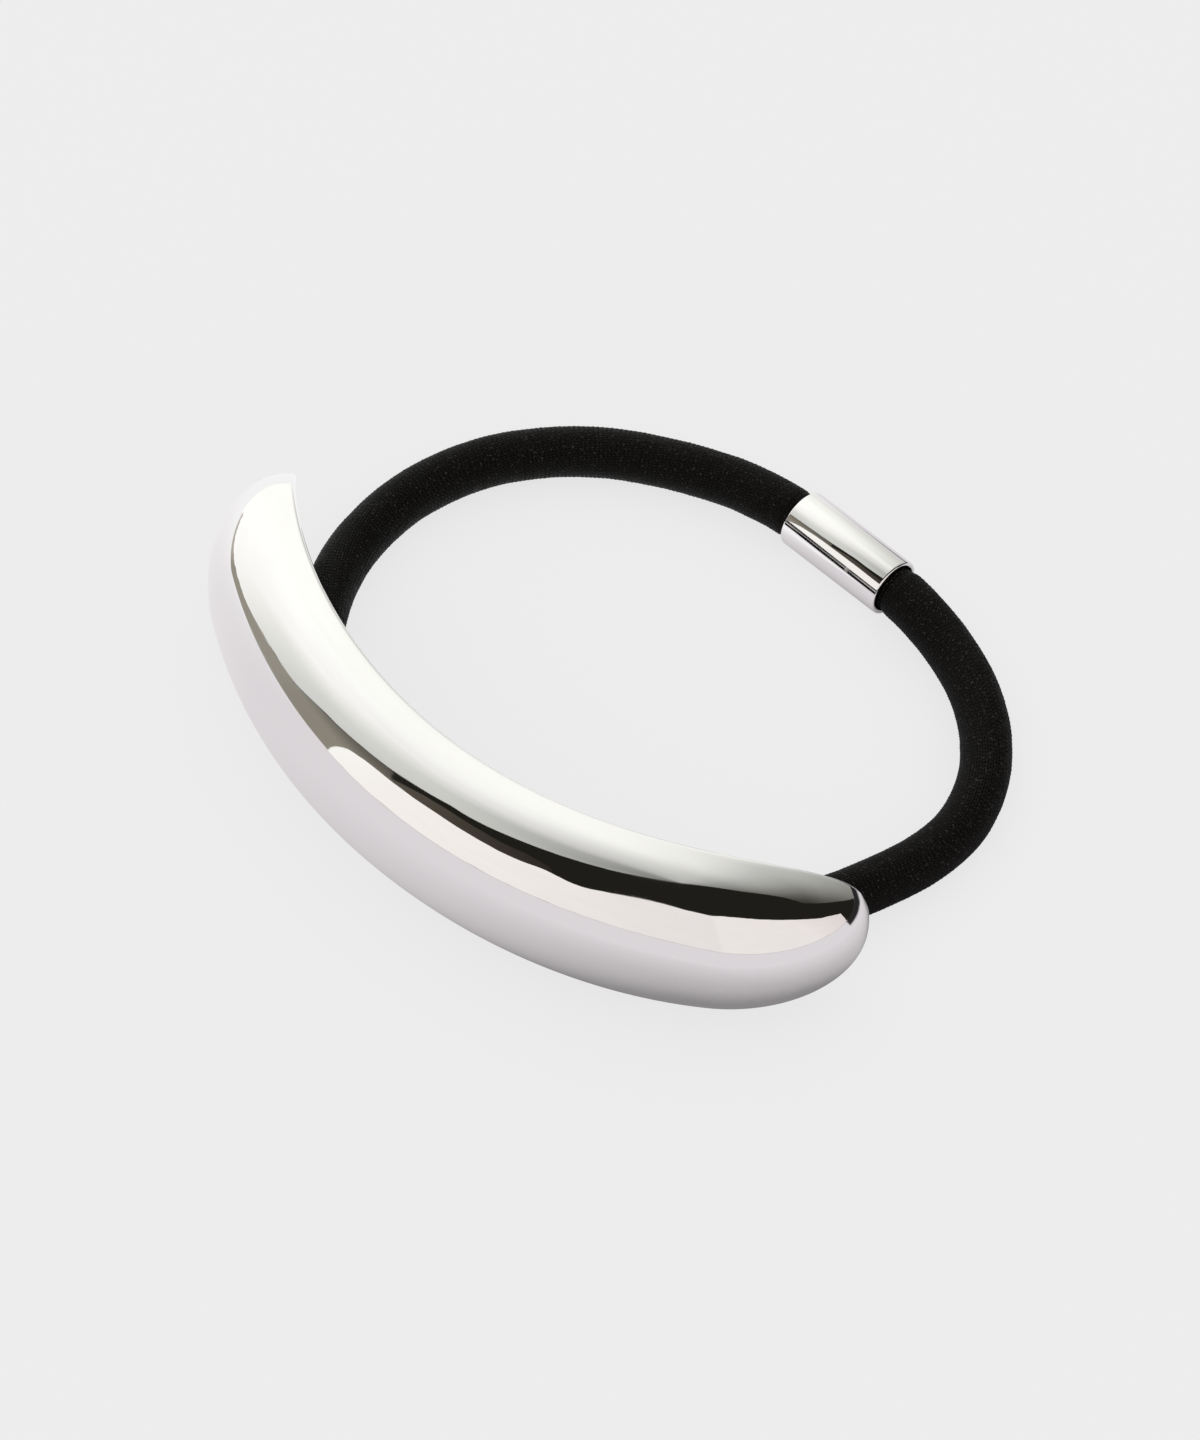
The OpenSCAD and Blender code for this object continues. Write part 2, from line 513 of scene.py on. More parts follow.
@dataclass
class Elastic:
    """The knitted elastic: one length from the crimp, round through the bar and back."""

    diameter: float = 5.1
    squeezed_diameter: float = 4.8
    # How deep the crimp holds either end, and how far past that the cord starts to swell and is full
    held: float = 6
    swell_start: float = 0.1
    swell_end: float = 1.3
    # One course is a row of stitches across the cord, and a wale a column along it
    course_length: float = 0.45
    wales: int = 28
    rings_a_course: int = 3
    relief: float = 0.045
    # How much the radius differs from place to place, and over about what length
    unevenness: float = 0.04
    patch_length: float = 3
    # How much the stitches' height differs, and how many times smaller its patches are
    slackness: float = 0.9
    slack_scale: float = 4.5
    # How often the wales go round the cord from end to end
    turns: float = 1.5
    # It is pressed flat where it rests, this far above the surface
    lowest: float = 0.01
    exit: Vector = field(default_factory=lambda: Vector((-2.6, 29.7, 3.1)))
    # How many places of the smooth route lie between two of its points
    route_steps: int = 24
    # The route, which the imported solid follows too
    route: tuple[Triple, ...] = (
        (3.4, 29.5, 3.1), (0.4, 29.6, 3.1), (-2.6, 29.7, 3.1), (-6.4, 29.5, 2.9), (-11.6, 28.5, 2.6),
        (-17.4, 26, 2.6), (-22.6, 22.9, 2.6), (-27, 18.8, 2.6), (-30.5, 13.8, 2.6), (-32.6, 8, 2.6),
        (-33.2, 2, 2.6), (-32.3, -4, 2.8), (-29.9, -9.6, 3.7), (-26.6, -14.7, 4.8), (-23.1, -19.6, 5.6),
        (-19.8, -23.1, 5.9), (-15.6, -25.8, 6), (-11, -27.2, 6), (-5.5, -27.8, 6), (0, -28.1, 6),
        (5.5, -27.8, 6), (11, -27.2, 6), (15.7, -25.7, 6), (20, -22.9, 5.9), (23.4, -18.7, 5.5),
        (26.3, -13.7, 4.7), (29, -9.1, 3.8), (31.3, -4.3, 2.9), (33.1, 0.9, 2.6), (34.5, 6.3, 2.6),
        (34.5, 11.8, 2.6), (32.5, 17.2, 2.6), (28.8, 21.9, 2.6), (23.9, 25.5, 2.6), (18.6, 27.8, 2.6),
        (14, 28.9, 2.9), (10.2, 29.3, 3.1), (7.2, 29.4, 3.1), (4.2, 29.5, 3.1),
    )

    def fine_route(self) -> tuple[list[Vector], list[float]]:
        """Smooths the route.

        Returns:
            Close points along the route, and the distance from the start to each.
        """
        points = [Vector(p) for p in self.route]
        last = len(points) - 1
        fine = []
        for i in range(last):
            a, b, c, d = points[max(0, i - 1)], points[i], points[i + 1], points[min(last, i + 2)]
            fine += [curve_point(a, b, c, d, step / self.route_steps) for step in range(self.route_steps)]
        fine.append(points[last])
        reached = [0.0]
        for here, there in zip(fine, fine[1:]):
            reached.append(reached[-1] + (there - here).length)
        return fine, reached

    def courses(self) -> int:
        """How many courses of stitches the cord has from end to end."""
        return round(self.fine_route()[1][-1] / self.course_length)

    def centres(self) -> list[Vector]:
        """Lays the cord's middle along its route.

        Returns:
            The middle of each ring, evenly spaced, a few to a course.
        """
        fine, reached = self.fine_route()
        count = self.courses() * self.rings_a_course
        even, k = [], 0
        for i in range(count + 1):
            goal = reached[-1] * i / count
            while k < len(fine) - 2 and reached[k + 1] < goal:
                k += 1
            share = (goal - reached[k]) / (reached[k + 1] - reached[k])
            even.append(fine[k].lerp(fine[k + 1], share))
        return even

    def patchiness(self, along: float, angle: float, scale: float = 1) -> float:
        """A smooth noise on the cord's surface, with patches that are smaller for a larger scale."""
        return noise.noise(Vector((math.cos(angle), math.sin(angle), along / self.patch_length)) * scale)

    def radius(self, from_end: float, along: float, angle: float) -> float:
        """The cord's radius at one place.

        Args:
            from_end: The distance to the cord's nearer end.
            along: The distance along the cord.
            angle: The angle round the cord, in radians.

        Returns:
            The radius, without the stitches.
        """
        full = smooth_step(self.held + self.swell_start, self.held + self.swell_end, from_end)
        plain = (self.squeezed_diameter + (self.diameter - self.squeezed_diameter) * full) / 2
        return plain - self.relief * (1 - full) + self.unevenness * full * self.patchiness(along, angle)

    def stitch(self, course: float, wale: float) -> float:
        """The height of the V stitches, from -1 to 1, at a place counted in courses and wales."""
        side = abs(2 * (wale % 1) - 1)
        return 0.5 * math.sin(2 * math.pi * (course + side / 2)) + 0.5 * math.cos(2 * math.pi * wale)

    def pull(self, along: float, angle: float) -> float:
        """How high the stitches stand at one place, since some are knitted tighter than others."""
        return self.relief * (1 + self.slackness * self.patchiness(along, angle, self.slack_scale))

    def build(self, finish: KnitFinish) -> bpy.types.Object:
        """Makes the elastic.

        Args:
            finish: The finish of its cover.

        Returns:
            The finished piece.
        """
        centres = self.centres()
        rings = len(centres) - 1
        sides = 2 * self.wales
        length = sum((b - a).length for a, b in zip(centres, centres[1:]))
        gap = length / rings
        mesh = bmesh.new()
        mesh.loops.layers.uv.new(finish.uv_map)
        bmesh.ops.create_grid(mesh, x_segments=rings, y_segments=sides, size=0.5, calc_uvs=True)
        for vert in mesh.verts:
            ring = round((vert.co.x + 0.5) * rings)
            side = round((vert.co.y + 0.5) * sides) % sides
            along = (centres[min(rings, ring + 1)] - centres[max(0, ring - 1)]).normalized()
            across = along.cross(Vector((0, 0, 1))).normalized()
            upward = across.cross(along)
            angle = 2 * math.pi * (side / sides + self.turns * ring / rings)
            radius = self.radius(min(ring, rings - ring) * gap, ring * gap, angle)
            radius += self.pull(ring * gap, angle) * self.stitch(ring / self.rings_a_course, side / 2)
            vert.co = centres[ring] + radius * (across * math.cos(angle) + upward * math.sin(angle))
            vert.co.z = max(vert.co.z, self.lowest)
        bmesh.ops.remove_doubles(mesh, verts=mesh.verts, dist=SAME_POINT)
        bmesh.ops.holes_fill(mesh, edges=[e for e in mesh.edges if e.is_boundary], sides=sides)
        bmesh.ops.recalc_face_normals(mesh, faces=mesh.faces)
        piece = enter(hand_over("knitted_elastic", mesh, [finish.material()]), "elastic")
        return piece


@dataclass
class Bar:
    """The domed bar: a hollow pressed shell, open at the back, with two posts in its hollow."""

    # The rim is bent to this radius, and spans this angle to either side of its middle
    rim_radius: float = 52.9
    half_angle: float = 46.8
    rim_middle_y: float = -24.2
    height: float = 18.2
    dome: float = 8.7
    wall: float = 1
    # How deep the straight strip behind the dome is, and how far the tips curl back
    strip: float = 0.4
    tip_curl: float = 1
    # Where the rim starts to narrow to a tip, how bluntly it does so, and how much it swells before
    rim_from: float = 0.06
    rim_power: float = 2.5
    rim_swell: float = 0.27
    # Where the dome starts to sink towards a tip, and how bluntly it does so
    dome_from: float = 0.69
    dome_power: float = 1.9
    # How square the domed section is: 2 is a plain ellipse
    section_power: float = 2.3
    # How far towards a tip the hollow reaches, and how late its lip thins to nothing there
    hollow_reach: float = 0.972
    lip_thinning: float = 3
    post_diameter: float = 1.5
    post_angle: float = 16.4
    # The solder at a post's ends: its width past the post, its upright foot's height, how steeply it
    # falls from there to the post, and how much further it runs out along it
    post_flare: float = 0.14
    flare_foot: float = 0.15
    flare_slope: float = 1.2
    flare_fall: float = 0.06
    flare_steps: int = 6
    post_sides: int = 40
    stations: int = 300
    dome_steps: int = 96
    hollow_steps: int = 72
    lip_steps: int = 16
    # The height of the bar's middle, where the lowest point of its rim is on the table
    middle_height: float = field(init=False)

    def __post_init__(self) -> None:
        """Works out how high the bar's middle stands."""
        self.middle_height = max(self.half_height(i / self.stations) for i in range(self.stations))

    @staticmethod
    def end_round(t: float, start: float, power: float) -> float:
        """A rounded end: 1 as far as start, then down to 0 at the tip."""
        share = min(1.0, max(0.0, (abs(t) - start) / (1 - start)))
        return (1 - share**power) ** (1 / power)

    def half_height(self, t: float) -> float:
        """Half the rim's height at a share t of the way from the middle to a tip."""
        swollen = self.height / 2 * (1 + self.rim_swell * t * t)
        return swollen * self.end_round(t, self.rim_from, self.rim_power)

    def dome_depth(self, t: float) -> float:
        """The dome's depth at a share t of the way from the middle to a tip."""
        return self.dome * self.end_round(t, self.dome_from, self.dome_power)

    def place(self, t: float, out: float, up: float) -> Vector:
        """A point of the bar.

        Args:
            t: Its share of the way from the middle to a tip.
            out: Its distance in front of the rim.
            up: Its height above the bar's middle.

        Returns:
            The point.
        """
        angle = math.radians(t * self.half_angle)
        radius = self.rim_radius + out
        y = self.rim_middle_y + self.rim_radius - radius * math.cos(angle) + self.tip_curl * t**4
        return Vector((radius * math.sin(angle), y, self.middle_height + up))

    def skin(self, t: float, depth: float, half: float, steps: int, turn: int) -> list[Vector]:
        """One domed half ring.

        Args:
            t: Its share of the way from the middle to a tip.
            depth: The dome's depth there.
            half: Half the height there.
            steps: How many steps it has.
            turn: 1 from the top down, or -1 from the bottom up.

        Returns:
            Its points.
        """
        power = 2 / self.section_power
        ring = []
        for i in range(steps + 1):
            angle = math.pi * (0.5 - i / steps) * turn
            out = depth * max(0.0, math.cos(angle)) ** power
            up = math.copysign(half * abs(math.sin(angle)) ** power, math.sin(angle))
            ring.append(self.place(t, out, up))
        return ring

    def lip(self, t: float, half: float, half_in: float, side: int) -> list[Vector]:
        """The half round lip from the dome to the hollow.

        Args:
            t: Its share of the way from the middle to a tip.
            half: Half the height outside.
            half_in: Half the height of the hollow.
            side: 1 for the upper lip and -1 for the lower one.

        Returns:
            Its points, from the dome inwards.
        """
        full = min(1.0, self.lip_thinning * self.end_round(t, self.dome_from, self.dome_power))
        points = []
        for i in range(self.lip_steps + 1):
            angle = math.pi * i / self.lip_steps
            inwards = (1 - math.cos(angle)) / 2
            out = -(self.strip + self.wall / 2 * math.sin(angle)) * full
            share = t + (t * self.hollow_reach - t) * inwards
            points.append(self.place(share, out, side * (half + (half_in - half) * inwards)))
        return points

    def section(self, t: float) -> list[Vector]:
        """The closed section at a share t of the way from the middle to a tip.

        Args:
            t: From -1 at the left tip to 1 at the right one.

        Returns:
            The dome from top to bottom, the lower lip, the hollow and the upper lip.
        """
        half, depth = self.half_height(t), self.dome_depth(t)
        half_in = half * (1 - 2 * self.wall / self.height)
        depth_in = depth * (1 - self.wall / self.dome)
        return (
            self.skin(t, depth, half, self.dome_steps, 1)
            + self.lip(t, half, half_in, -1)
            + self.skin(t * self.hollow_reach, depth_in, half_in, self.hollow_steps, -1)
            + self.lip(t, half, half_in, 1)[::-1]
        )

    def shell(self) -> bmesh.types.BMesh:
        """Makes the hollow shell.

        Returns:
            A closed mesh whose hollow numbers the second material.
        """
        shares = [math.sin(math.pi * (i / self.stations - 0.5)) for i in range(self.stations + 1)]
        sections = [self.section(t) for t in shares]
        size = len(sections[0])
        hollow_start = self.dome_steps + 1 + self.lip_steps + 1
        mesh = bmesh.new()
        bmesh.ops.create_grid(mesh, x_segments=self.stations, y_segments=size, size=0.5)
        for face in mesh.faces:
            step = (face.calc_center_median().y + 0.5) * size
            face.material_index = int(hollow_start < step < hollow_start + self.hollow_steps)
        for vert in mesh.verts:
            station = round((vert.co.x + 0.5) * self.stations)
            vert.co = sections[station][round((vert.co.y + 0.5) * size) % size]
        bmesh.ops.remove_doubles(mesh, verts=mesh.verts, dist=SAME_POINT)
        bmesh.ops.dissolve_degenerate(mesh, edges=mesh.edges, dist=SAME_POINT)
        bmesh.ops.recalc_face_normals(mesh, faces=mesh.faces)
        return mesh

    def add_post(self, mesh: bmesh.types.BMesh, side: int) -> None:
        """Adds one upright post to the mesh, with a flare of solder at either end.

        Args:
            mesh: The bar's mesh.
            side: -1 for the left post and 1 for the right one.
        """
        t = side * self.post_angle / self.half_angle
        half = self.half_height(t) - self.wall / 2
        inside = half - self.wall / 2
        radius = self.post_diameter / 2
        levels = [(radius + self.post_flare, half)]
        for i in range(self.flare_steps + 1):
            angle = math.pi / 2 * i / self.flare_steps
            bend = self.flare_slope * self.post_flare * (1 - math.cos(angle))
            fall = bend + self.flare_fall * i / self.flare_steps
            width = radius + self.post_flare * (1 - math.sin(angle))
            levels.append((width, inside + self.flare_foot - fall))
        profile = levels + [(r, -z) for r, z in reversed(levels)]
        foot = self.place(t, 0, 0)
        shell = set(mesh.faces)
        verts = [mesh.verts.new(foot + Vector((r, 0, z))) for r, z in profile]
        edges = [mesh.edges.new(pair) for pair in zip(verts, verts[1:])]
        bmesh.ops.spin(
            mesh, geom=verts + edges, cent=foot, axis=(0, 0, 1), dvec=(0, 0, 0),
            angle=2 * math.pi, steps=self.post_sides, use_merge=True, use_duplicate=False,
        )
        rims = [edge for edge in mesh.edges if edge.is_boundary]
        bmesh.ops.holes_fill(mesh, edges=rims, sides=self.post_sides)
        post = [face for face in mesh.faces if face not in shell]
        for face in post:
            face.material_index = 1
        bmesh.ops.recalc_face_normals(mesh, faces=post)

    def build(self, outside: MetalFinish, inside: MetalFinish) -> bpy.types.Object:
        """Makes the bar.

        Args:
            outside: The finish of the dome and the lip.
            inside: The finish of the hollow and the posts.

        Returns:
            The finished piece.
        """
        mesh = self.shell()
        for side in (-1, 1):
            self.add_post(mesh, side)
        materials = [outside.material(), inside.material()]
        return enter(hand_over("domed_bar", mesh, materials), "bar")


@dataclass
class Crimp:
    """The crimp: a short polished tube with rounded rims, pressed onto the elastic's two ends."""

    length: float = 12.8
    diameter: float = 6.1
    bore: float = 5.2
    # It is turned by this angle round the upright, as the cord is there
    turn: float = -2
    middle: Vector = field(default_factory=lambda: Vector((3.8, 29.5, 3.1)))
    rim_steps: int = 8
    sides: int = 128

    def profile(self) -> list[Vector]:
        """The tube's wall, seen along its axis.

        Returns:
            A closed line of points, with the axis along X and the distance from it along Z.
        """
        outer, inner = self.diameter / 2, self.bore / 2
        rim = (outer - inner) / 2
        straight = self.length / 2 - rim
        line = []
        for end, start in ((1, 0), (-1, 180)):
            for i in range(self.rim_steps + 1):
                angle = math.radians(start + 180 * i / self.rim_steps)
                out = inner + rim + rim * math.cos(angle)
                line.append(Vector((end * straight + rim * math.sin(angle), 0, out)))
        return line

    def build(self, finish: MetalFinish) -> bpy.types.Object:
        """Makes the crimp.

        Args:
            finish: The finish of the whole tube.

        Returns:
            The finished piece.
        """
        mesh = bmesh.new()
        verts = [mesh.verts.new(p) for p in self.profile()]
        edges = [mesh.edges.new(pair) for pair in zip(verts, verts[1:] + verts[:1])]
        bmesh.ops.spin(
            mesh, geom=verts + edges, cent=(0, 0, 0), axis=(1, 0, 0), dvec=(0, 0, 0),
            angle=2 * math.pi, steps=self.sides, use_merge=True, use_duplicate=False,
        )
        bmesh.ops.remove_doubles(mesh, verts=mesh.verts, dist=SAME_POINT)
        bmesh.ops.recalc_face_normals(mesh, faces=mesh.faces)
        bmesh.ops.rotate(mesh, matrix=Matrix.Rotation(math.radians(self.turn), 3, "Z"), verts=mesh.verts)
        bmesh.ops.translate(mesh, vec=self.middle, verts=mesh.verts)
        return enter(hand_over("back_crimp", mesh, [finish.material()]), "crimp")


@dataclass(frozen=True)
class Panel:
    """One face of the studio round the tie, outlined in degrees from the camera's side and the horizon."""

    name: str
    # The tones from left to right: an angle, and the red, green and blue that show on a screen
    tones: tuple[tuple[float, float, float, float], ...]
    low: Outline
    high: Outline
    # The share of the tones that is left at each height, and how far they lean to the right there
    fade: Outline = ((0, 1), (90, 1))
    lean: Outline = ((0, 0), (90, 0))
    # How uneven the panel's cloth looks, how far its edges stray, and over about what angles
    mottle: float = 0.02
    mottle_size: float = 9
    ragged: float = 0.5
    ragged_size: float = 2.1
    # How far its corners are rounded off
    rounding: float = 0.8
    distance: float = 3.0
    columns_a_degree: int = 2
    rows: int = 56

    def edge(self, line: Outline, turn: float) -> float:
        """The height of an edge, which strays a little and has its corners rounded off.

        Args:
            line: The edge's own line.
            turn: The angle from the camera's side.

        Returns:
            The angle above the horizon.
        """
        places = (turn - self.rounding, turn, turn + self.rounding)
        where = Vector((turn / self.ragged_size, line[0][0], self.distance))
        level = sum(read_line(line, place) for place in places) / len(places)
        return self.ragged * noise.noise(where) + level

    def light_at(self, bands: list[Outline], turn: float, rise: float) -> Colour:
        """The panel's own light at one place.

        Args:
            bands: The red, green and blue light from left to right.
            turn: The angle from the camera's side.
            rise: The angle above the horizon.

        Returns:
            The linear colour of the light.
        """
        share = read_line(self.fade, rise)
        where = Vector((turn / self.mottle_size, rise / self.mottle_size, self.distance))
        share *= 1 + self.mottle * noise.noise(where)
        place = turn - read_line(self.lean, rise)
        return tuple(share * read_line(band, place) for band in bands)

    def build(self, camera_azimuth: float) -> bpy.types.Object:
        """Makes the panel.

        Args:
            camera_azimuth: The camera's azimuth, which the outline is measured from.

        Returns:
            The panel, which glows in its tones.
        """
        mesh = bmesh.new()
        first, last = self.low[0][0], self.low[-1][0]
        columns = round(self.columns_a_degree * (last - first))
        bmesh.ops.create_grid(mesh, x_segments=columns, y_segments=self.rows, size=0.5)
        glow = mesh.verts.layers.float_color.new("glow")
        bands = [tuple((at, tone(*shown)[i]) for at, *shown in self.tones) for i in range(3)]
        for vert in mesh.verts:
            turn = first + (last - first) * (vert.co.x + 0.5)
            low, high = self.edge(self.low, turn), self.edge(self.high, turn)
            rise = low + (high - low) * (vert.co.y + 0.5)
            azimuth = math.radians(turn + camera_azimuth)
            elevation = math.radians(rise)
            vert[glow] = (*self.light_at(bands, turn, rise), 1)
            vert.co = self.distance / MM * Vector((
                math.sin(azimuth) * math.cos(elevation),
                -math.cos(azimuth) * math.cos(elevation),
                math.sin(elevation),
            ))
        return hand_over(self.name, mesh, [glowing(self.name, "glow")])


def glowing(name: str, attribute: str = "", colour: Colour = (1, 1, 1)) -> bpy.types.Material:
    """Makes a material that only glows.

    Args:
        name: The material's name.
        attribute: The colour attribute that it glows in, if it has one.
        colour: The colour that it glows in otherwise.

    Returns:
        The material.
    """
    material, bench, _ = new_material(name)
    light = bench.feed(bench.add("ShaderNodeEmission"), Color=(*colour, 1))
    if attribute:
        bench.feed(light, Color=bench.add("ShaderNodeAttribute", attribute_name=attribute).outputs["Color"])
    bench.feed(bench.tree.nodes["Material Output"], Surface=light.outputs[0])
    return material


def tone(red: float, green: float, blue: float) -> Colour:
    """The linear colour of a tone given as it shows on a screen, where 255 is white."""
    shown = [value / 255 for value in (red, green, blue)]
    return tuple(v / 12.92 if v <= 0.04045 else ((v + 0.055) / 1.055) ** 2.4 for v in shown)


PANELS = (
    Panel(
        "back_panel",
        tones=((92, 62, 60, 54), (98, 76, 74, 68), (103, 90, 88, 82), (108, 103, 101, 95),
               (122, 141, 141, 134), (148, 200, 200, 196), (165, 246, 246, 240), (180, 262, 262, 256),
               (210, 263, 263, 260), (235, 255, 254, 250), (260, 216, 217, 212), (290, 196, 197, 192)),
        low=((92, 53), (96, 43), (104, 29), (112, 13), (120, 0), (127, -10), (180, -10), (210, -10),
             (212, 4.6), (220, 5), (228, 5.7), (234, 7.4), (238, 8.7), (246, 9.5), (250, 12.5), (254, 16),
             (258, 18.5), (260, 19.5), (262.9, 21.5), (264.3, 24.5), (266.3, 31), (269.7, 35.7),
             (272.1, 39.8), (274.5, 43.6), (276.2, 46.3), (276.6, 54.9), (282.5, 56.5), (286, 62),
             (290, 67.5), (293.5, 71.5), (297, 76), (299.5, 79), (300, 90)),
        high=((92, 54), (98, 59), (104, 64), (110, 71), (113, 76), (122, 81), (126, 87), (128, 90),
              (300, 90)),
        fade=((50, 1), (60, 0.95), (65, 0.88), (75, 0.65), (85, 0.47)),
        lean=((0, 5), (20, 1), (40, -1), (52, 3), (60, 0), (70, -6), (77, -7), (80, -12), (86, -20)),
        ragged=1.0,
    ),
    Panel(
        "side_wall",
        tones=((212, 190, 185, 177), (230, 178, 172, 163), (237, 150, 144, 133),
               (262, 150, 145, 134), (266, 143, 138, 127), (283, 138, 132, 120)),
        low=((212, 2.2), (283, 2.2)),
        high=((212, 7), (236, 10), (240, 12), (255, 16), (258, 17.8), (262.9, 20.8), (264.3, 23.8),
              (266.3, 30.2), (269.7, 34.9), (272.1, 39), (274.5, 42.8), (276.5, 45), (282.5, 35),
              (283, 33)),
        fade=((21, 1), (29, 0.78), (33, 0.64), (38, 0.5), (46, 0.36)),
        ragged=0,
        distance=3.1,
    ),
    Panel(
        "brown_board",
        tones=((-78.5, 87, 81, 73), (-70, 73, 67, 59), (-60, 63, 56, 51),
               (-52, 55, 49, 45), (-46, 44, 39, 35)),
        low=((-78.5, 30), (-46, 30)),
        high=((-78.5, 46), (-77, 49), (-70, 50), (-62, 50), (-58, 52), (-50, 49), (-46, 42)),
        fade=((38, 1), (50, 0.75)),
        distance=3.1,
    ),
    Panel(
        "front_panel",
        tones=((-84, 255, 254, 250), (-75, 250, 246, 241), (-50, 245, 240, 236),
               (-25, 237, 232, 229), (-6, 235, 230, 227), (-4, 240, 235, 231),
               (50, 238, 232, 230), (75, 229, 221, 218), (88, 226, 217, 214)),
        low=((-82.5, 1.2), (83, 1.2), (83.8, 10), (86.4, 17.2)),
        high=((-82.5, 22), (-82, 28), (-81, 31), (-78, 33.6), (-75, 35.6), (-72, 36.6), (-69, 37.5),
              (-56, 38.2), (-53, 39), (-50, 42.5), (-46, 42.3), (-41.7, 39.8), (-39, 40.8), (-34, 46.7),
              (-28, 52.5), (-22, 54.5), (-12, 54), (-5, 54.5), (2, 56.8), (14, 57.5), (25, 56), (38, 52.6),
              (51, 46.8), (63, 38), (69, 32), (76, 27.6), (83, 20.6), (86.4, 17.4)),
    ),
    Panel(
        "table_edge",
        tones=((-180, 243, 243, 241), (-135, 247, 246, 244), (-100, 232, 230, 233),
               (-84, 222, 217, 218), (-70, 214, 208, 208), (70, 212, 205, 204),
               (82.5, 206, 199, 198), (84.5, 44, 41, 37), (95, 44, 41, 37),
               (115, 60, 57, 52), (135, 160, 158, 153), (180, 243, 243, 241)),
        low=((-180, -3), (180, -3)),
        high=((-180, 1), (-150, 3.8), (-126, 3.8), (-118, 2.4), (-84, 2.4), (-80, 1.3), (180, 1.3)),
        ragged=0,
        distance=3.2,
    ),
)

@dataclass(frozen=True)
class DarkSector:
    """A part of the floor that the metal mirrors as dark, which opens away from its corner."""

    corner: Pair
    # The direction of its middle, and the cosines of the angles from there where it begins and is whole
    side: Pair
    spread: Pair
    # How far from its corner it begins and is whole
    reach: Pair = (0.044, 0.0792)

    def mask(self, bench: NodeBench, across: Socket, along: Socket) -> Socket:
        """Makes the sector's mask.

        Args:
            bench: The floor material's bench.
            across: The place on the floor along X.
            along: The place along Y.

        Returns:
            The mask, from 0 outside to 1 inside.
        """
        x = bench.math("SUBTRACT", across, self.corner[0])
        y = bench.math("SUBTRACT", along, self.corner[1])
        away = bench.length(x, y)
        ahead = bench.math("MULTIPLY_ADD", y, self.side[1], bench.times(x, self.side[0]))
        towards = bench.between(bench.math("DIVIDE", ahead, away), *self.spread)
        return bench.times(towards, bench.between(away, *self.reach))


# The floor behind the tie, and a narrow part past the bar's right tip
DARK_SECTORS = (
    DarkSector(corner=(0, 0), side=(0.366, 0.931), spread=(0.8, 0.91)),
    DarkSector(corner=(0.038, -0.01), side=(0.574, 0.819), spread=(0.935, 0.951)),
)


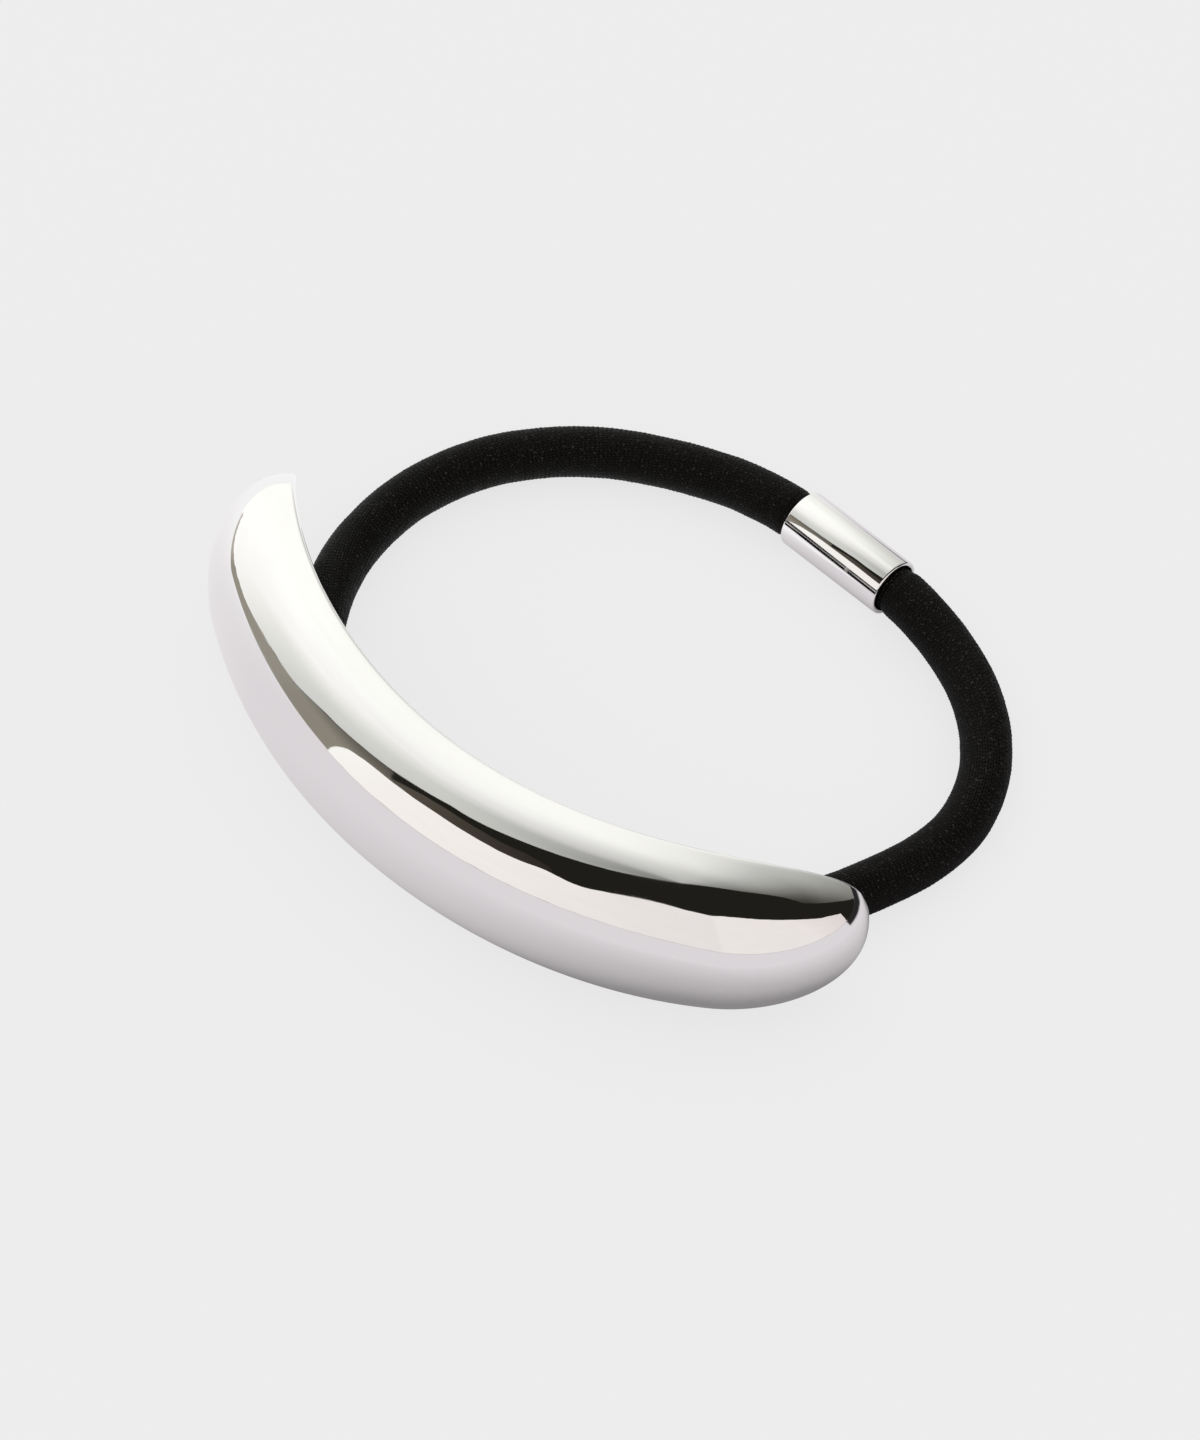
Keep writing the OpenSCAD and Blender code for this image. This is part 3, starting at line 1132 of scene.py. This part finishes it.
@dataclass
class Studio:
    """A pale floor, panels that the metal mirrors, and soft light from all round."""

    camera_azimuth: float
    floor_radius: float = 3.5
    floor_drop: float = 2e-5
    floor_sides: int = 128
    floor_colour: Colour = tone(238, 238, 238)
    # The floor is a light table: shadows take away only this share of its light
    shadow_share: float = 0.13
    # How much of its own light it throws back up at matt things
    bounce: float = 0.3
    # The floor's light as the metal mirrors it, plain and to the left, and its change to the right
    mirrored_floor: Colour = (0.746, 0.714, 0.734)
    mirrored_left: Colour = (0.956, 0.949, 0.949)
    right_change: Colour = (-0.08, -0.08, -0.08)
    # The shares of east and north in the direction from the tie between which those set in
    left_east: Pair = (0, -0.6)
    left_north: Pair = (-0.7, 0.1)
    right_east: Pair = (0.15, 0.9)
    # How much of its light is gone in the dark sectors
    darkness: float = 0.97
    # How far from the tie the floor is shaded, how strongly beside the bar's right end, from where to
    # where along X that sets in, and the least light that it leaves
    shade_reach: float = 0.03
    shade: float = 2.2
    shade_across: Pair = (-0.04, 0.045)
    shade_left_over: float = 0.35
    shade_samples: int = 12
    room_radius: float = 3.3
    room_sides: int = 64
    room_colour: Colour = tone(32, 30, 26)
    sky: float = 0.96
    key_power: float = 1.5
    key_size: float = 1.2
    key_place: Vector = field(default_factory=lambda: Vector((-1.6, 0.6, 1.8)))

    @staticmethod
    def show_to(thing: bpy.types.Object, rays: SeenBy) -> None:
        """Shows a thing of the studio to some rays only.

        Args:
            thing: The thing.
            rays: The rays that see it.
        """
        thing.visible_glossy = rays is SeenBy.REFLECTIONS
        thing.visible_diffuse = rays is SeenBy.DIFFUSE
        thing.visible_camera = thing.visible_transmission = thing.visible_shadow = False

    def floor(self) -> bpy.types.Object:
        """Makes the floor.

        Returns:
            The floor, which glows evenly under its shadows, and which the metal mirrors in other tones.
        """
        mesh = bmesh.new()
        radius = self.floor_radius / MM
        bmesh.ops.create_circle(mesh, cap_ends=True, segments=self.floor_sides, radius=radius)
        bmesh.ops.translate(mesh, vec=(0, 0, -self.floor_drop / MM), verts=mesh.verts)
        material, bench, plain = new_material("floor")
        path = bench.add("ShaderNodeLightPath").outputs
        lit = tuple(value * self.shadow_share for value in self.floor_colour)
        own = tuple(value * (1 - self.shadow_share) for value in self.floor_colour)
        thrown_back = tuple(value * self.bounce for value in own)
        bench.feed(
            plain,
            Base_Color=(*lit, 1),
            Emission_Color=bench.blend(path["Is Diffuse Ray"], own, thrown_back),
            Emission_Strength=1,
            Roughness=1,
            Specular_IOR_Level=0,
        )
        mirrored = bench.feed(bench.add("ShaderNodeEmission"), Color=self.mirrored_light(bench))
        both = bench.feed(bench.add("ShaderNodeMixShader"), Fac=path["Is Glossy Ray"])
        bench.fill(both.inputs[1], plain.outputs[0])
        bench.fill(both.inputs[2], mirrored.outputs[0])
        bench.feed(bench.tree.nodes["Material Output"], Surface=both.outputs[0])
        return hand_over("floor", mesh, [material])

    def mirrored_light(self, bench: NodeBench) -> Socket:
        """The light that the floor gives to the metal.

        Args:
            bench: The floor material's bench.

        Returns:
            The colour of that light.
        """
        place = bench.add("ShaderNodeTexCoord").outputs["Object"]
        split = bench.feed(bench.add("ShaderNodeSeparateXYZ"), Vector=place).outputs
        across, along = split["X"], split["Y"]
        away = bench.length(across, along)
        east = bench.math("DIVIDE", across, away)
        north = bench.math("DIVIDE", along, away)
        left = bench.times(bench.between(east, *self.left_east), bench.level(north, *self.left_north))
        right = bench.between(east, *self.right_east)
        plain = bench.blend(left, self.mirrored_floor, self.mirrored_left)
        change = bench.blend(right, (0, 0, 0), self.right_change)
        light = bench.math("ADD", plain, change, kind=bench.COLOURS)
        unlit = bench.math("MAXIMUM", *(sector.mask(bench, across, along) for sector in DARK_SECTORS))
        lit = bench.math("MULTIPLY_ADD", unlit, -self.darkness, 1)
        near = bench.add("ShaderNodeAmbientOcclusion", samples=self.shade_samples)
        openness = bench.feed(near, Distance=self.shade_reach).outputs["AO"]
        beside = bench.math("POWER", bench.level(across, *self.shade_across), 2)
        shaded = bench.times(bench.math("SUBTRACT", 1, openness), bench.times(beside, self.shade))
        left_over = bench.math("MAXIMUM", bench.math("SUBTRACT", 1, shaded), self.shade_left_over)
        return bench.math("MULTIPLY", light, bench.times(left_over, lit), kind=bench.COLOURS)

    def dark_room(self) -> bpy.types.Object:
        """Makes the dark room behind the panels.

        Returns:
            The room, as a dome that only the metal mirrors.
        """
        mesh = bmesh.new()
        bmesh.ops.create_uvsphere(
            mesh, u_segments=self.room_sides, v_segments=self.room_sides // 2, radius=self.room_radius / MM
        )
        return hand_over("dark_room", mesh, [glowing("dark_room", colour=self.room_colour)])

    def key_light(self) -> None:
        """Adds the large soft light high on the tie's left."""
        data = bpy.data.lights.new("key", "AREA")
        data.shape = "DISK"
        data.size = self.key_size
        data.energy = self.key_power
        key = bpy.data.objects.new("key", data)
        bpy.context.scene.collection.objects.link(key)
        key.location = self.key_place
        key.rotation_mode = "QUATERNION"
        key.rotation_quaternion = (-self.key_place).to_track_quat("-Z", "Y")
        self.show_to(key, SeenBy.DIFFUSE)

    def build(self) -> None:
        """Sets up the whole studio and how its light shows on a screen."""
        self.floor()
        for thing in [self.dark_room()] + [panel.build(self.camera_azimuth) for panel in PANELS]:
            self.show_to(thing, SeenBy.REFLECTIONS)
        self.key_light()
        scene = bpy.context.scene
        scene.world = bpy.data.worlds.new("studio")
        scene.world.use_nodes = True
        background = scene.world.node_tree.nodes["Background"]
        background.inputs["Color"].default_value = (1, 1, 1, 1)
        background.inputs["Strength"].default_value = self.sky
        scene.world.cycles_visibility.glossy = False
        scene.view_settings.view_transform = "Standard"
        scene.cycles.use_denoising = True


MIRROR = MetalFinish(
    name="mirror_polish",
    colour=(0.94, 0.935, 0.935),
    dulled=(0.86, 0.855, 0.86),
    roughness=0.03,
    smudges=0.05,
    wipe_marks=0.03,
    waves=1.2e-5,
)
PRESSED = MetalFinish(
    name="pressed_inside",
    colour=(0.70, 0.69, 0.68),
    dulled=(0.52, 0.50, 0.49),
    roughness=0.28,
    smudges=0.18,
    wipe_marks=0.1,
    waves=3e-5,
)


def main() -> None:
    """Builds the camera, the pieces and the studio."""
    logging.basicConfig(level=logging.INFO, format="%(name)s: %(message)s")
    camera = PhotoCamera()
    camera.place()
    elastic = Elastic()
    knit = KnitFinish(
        name="knitted_cover",
        yarn=(0.0092, 0.0076, 0.0062),
        shadow=(0.0006, 0.0006, 0.0005),
        tint=(0.9, 0.75, 0.72),
        roughness=0.5,
        gloss=0.09,
        sheen=0.003,
        fuzz_glint=(0.034, 0.032, 0.030),
        courses=elastic.courses(),
        wales=elastic.wales,
        stitch_height=1e-4,
        fibre_height=4e-5,
    )
    for piece in (elastic.build(knit), Bar().build(MIRROR, PRESSED), Crimp().build(MIRROR)):
        log.info("%s: %d faces", piece.name, len(piece.data.polygons))
    Studio(camera_azimuth=camera.azimuth).build()


if __name__ == "__main__":
    main()
